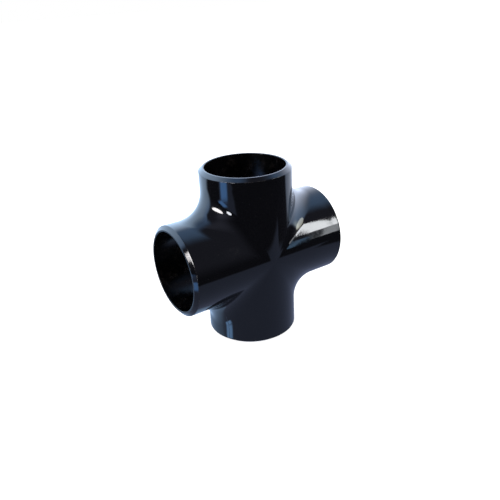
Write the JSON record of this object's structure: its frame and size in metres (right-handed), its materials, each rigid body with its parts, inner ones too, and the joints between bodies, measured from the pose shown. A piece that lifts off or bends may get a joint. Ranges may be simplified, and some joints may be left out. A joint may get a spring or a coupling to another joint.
{
  "type": "butt-weld pipe cross",
  "caption": "Equal cross fitting in black painted steel that joins pipe runs at right angles, with smooth blended crotches and bevelled welding ends.",
  "frame": {"origin": "the point where the axes of the two barrels cross, which is the centre of the fitting", "axes": "+Z along the upright barrel towards the top port, +X along the other barrel towards the right port, +Y away from the viewer, square to both barrels"},
  "size_m": [0.172, 0.0888, 0.172],
  "materials": {
    "black_enamel": "gloss black enamel over formed steel"
  },
  "bodies": {
    "root": {"cross_body": "black_enamel"}
  },
  "joints": []
}
